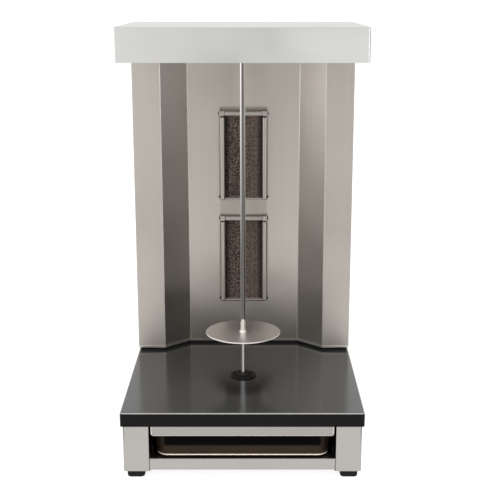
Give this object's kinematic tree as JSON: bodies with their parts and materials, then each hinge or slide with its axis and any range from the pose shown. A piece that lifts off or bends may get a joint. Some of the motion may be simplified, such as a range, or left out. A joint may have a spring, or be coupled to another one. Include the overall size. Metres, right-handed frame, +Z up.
{
  "type": "vertical rotisserie broiler",
  "caption": "Gas broiler with an upright turning spit and disc in front of stacked burners, a hooded drive above and a sliding grease pan below.",
  "frame": {"origin": "centre of the bounding box at the feet, on the counter", "axes": "+X to the right seen from the open front, +Y from the front to the back, +Z up along the spit"},
  "size_m": [0.439, 0.52, 0.8],
  "materials": {
    "leg_steel": "fine brushed",
    "plain_steel": "mill finish",
    "foot_rubber": "matte",
    "screw_steel": "polished",
    "slab_enamel": "glossy black",
    "pan_enamel": "dark brown non-stick",
    "plinth_dark": "satin black",
    "reflector_steel": "fine brushed",
    "body_steel": "fine brushed",
    "burner_steel": "satin",
    "mesh_wire": "heat-darkened",
    "burner_ceramic": "fired ceramic, matte",
    "pressed_steel": "mill finish",
    "gas_brass": "machined",
    "stem_steel": "turned",
    "knob_plastic": "satin black",
    "bearing_black": "satin black",
    "spit_steel": "polished round bar",
    "disc_steel": "turned",
    "hood_steel": "fine brushed",
    "gearbox_alloy": "cast",
    "bronze": "machined",
    "motor_paint": "satin",
    "switch_plastic": "satin",
    "rocker_plastic": "glossy red"
  },
  "bodies": {
    "frame": {"base_left_side": "leg_steel", "base_right_side": "leg_steel", "front_crossbar": "leg_steel", "rear_crossbar": "leg_steel", "base_back_panel": "leg_steel", "pan_rail_left": "plain_steel", "pan_rail_right": "plain_steel", "feet": "foot_rubber", "foot_screws": "screw_steel", "base_slab": "slab_enamel", "body_plinth": "plinth_dark", "heat_reflector": "reflector_steel", "body_left_side": "body_steel", "body_right_side": "body_steel", "body_roof": "body_steel", "rear_cover": "body_steel", "rear_cover_screws": "screw_steel", "lower_burner_frame": "burner_steel", "upper_burner_frame": "burner_steel", "lower_burner_mesh": "mesh_wire", "upper_burner_mesh": "mesh_wire", "lower_burner_tiles": "burner_ceramic", "upper_burner_tiles": "burner_ceramic", "lower_burner_box": "pressed_steel", "upper_burner_box": "pressed_steel", "lower_mixing_tube": "pressed_steel", "upper_mixing_tube": "pressed_steel", "lower_gas_valve": "gas_brass", "upper_gas_valve": "gas_brass", "gas_manifold": "gas_brass", "gas_inlet": "gas_brass", "spindle_foot_bearing": "bearing_black", "foot_bearing_screws": "bearing_black", "thrust_ball": "screw_steel", "hood_shell": "hood_steel", "hood_belly_plate": "hood_steel", "hood_screws": "screw_steel", "motor_bracket": "plain_steel", "gearbox_case": "gearbox_alloy", "gearbox_lid": "gearbox_alloy", "drive_motor": "motor_paint", "drive_bush": "bronze", "switch_bezel": "switch_plastic", "cable_gland": "switch_plastic"},
    "pan": {"grease_pan": "pan_enamel", "pan_front_strip": "leg_steel"},
    "drive": {"drive_socket": "stem_steel", "worm_wheel": "bronze"},
    "spindle": {"spindle_rod": "spit_steel", "meat_disc": "disc_steel", "disc_collar": "spit_steel", "collar_screw": "screw_steel"},
    "worm": {"worm_shaft": "stem_steel"},
    "lower_plug": {"lower_valve_plug": "gas_brass"},
    "lower_knob": {"lower_valve_stem": "stem_steel", "lower_gas_knob": "knob_plastic"},
    "upper_plug": {"upper_valve_plug": "gas_brass"},
    "upper_knob": {"upper_valve_stem": "stem_steel", "upper_gas_knob": "knob_plastic"},
    "rocker": {"rocker": "rocker_plastic"}
  },
  "joints": [
    {"name": "pan_slide", "type": "slide", "parent": "frame", "child": "pan", "axis": [0, -1, 0], "range_m": [0, 0.36]},
    {"name": "spindle_spin", "type": "hinge", "parent": "frame", "child": "drive", "pos_m": [0, -0.0675, 0.74], "axis": [0, 0, 1], "continuous": true},
    {"name": "spindle_lift", "type": "slide", "parent": "drive", "child": "spindle", "axis": [0, 0, 1], "range_m": [0, 0.014]},
    {"name": "worm_spin", "type": "hinge", "parent": "frame", "child": "worm", "pos_m": [0, -0.0395, 0.764], "axis": [1, 0, 0], "continuous": true},
    {"name": "lower_gas_turn", "type": "hinge", "parent": "frame", "child": "lower_plug", "pos_m": [-0.03, 0.1965, 0.169], "axis": [0, 1, 0], "range_deg": [0, 210]},
    {"name": "lower_gas_push", "type": "slide", "parent": "lower_plug", "child": "lower_knob", "axis": [0, -1, 0], "range_m": [0, 0.003], "stiffness_N_per_m": 600},
    {"name": "upper_gas_turn", "type": "hinge", "parent": "frame", "child": "upper_plug", "pos_m": [0.03, 0.1965, 0.169], "axis": [0, 1, 0], "range_deg": [0, 210]},
    {"name": "upper_gas_push", "type": "slide", "parent": "upper_plug", "child": "upper_knob", "axis": [0, -1, 0], "range_m": [0, 0.003], "stiffness_N_per_m": 600},
    {"name": "rocker_tilt", "type": "hinge", "parent": "frame", "child": "rocker", "pos_m": [0.12, 0.226, 0.7], "axis": [1, 0, 0], "range_deg": [0, 16]}
  ],
  "couplings": [
    {"joint": "worm_spin", "follows": "spindle_spin", "ratio": 30}
  ]
}
